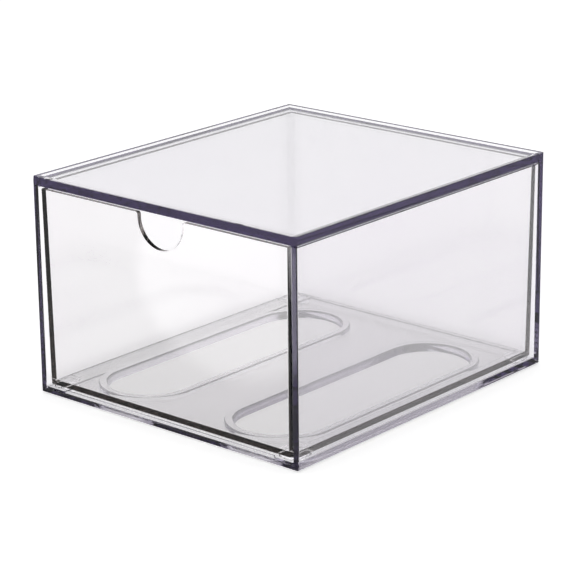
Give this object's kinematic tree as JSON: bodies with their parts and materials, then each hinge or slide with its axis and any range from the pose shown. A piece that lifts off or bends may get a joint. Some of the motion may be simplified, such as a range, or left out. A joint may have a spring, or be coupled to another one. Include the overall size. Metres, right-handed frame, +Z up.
{
  "type": "stackable drawer box",
  "caption": "Clear open-front case with a stacking rim and a lift-out sliding drawer that has a half-round finger notch.",
  "frame": {"origin": "on the surface the box stands on, under the middle of its footprint", "axes": "+Z up, +Y from the open front to the back, +X to the right seen from the front"},
  "size_m": [0.1692, 0.192, 0.1128],
  "materials": {
    "case_clear": "clear polished moulding with a faint blue-violet tint",
    "drawer_clear": "clear polished moulding with a faint olive tint",
    "pad_clear": "clear soft elastomer"
  },
  "bodies": {
    "case": {"case_shell": "case_clear", "pad_front_left": "pad_clear", "pad_front_right": "pad_clear", "pad_back_left": "pad_clear", "pad_back_right": "pad_clear"},
    "drawer": {"drawer": "drawer_clear"}
  },
  "joints": [
    {"name": "drawer_slide", "type": "slide", "parent": "case", "child": "drawer", "axis": [0, -1, 0], "range_m": [0, 0.16]}
  ]
}
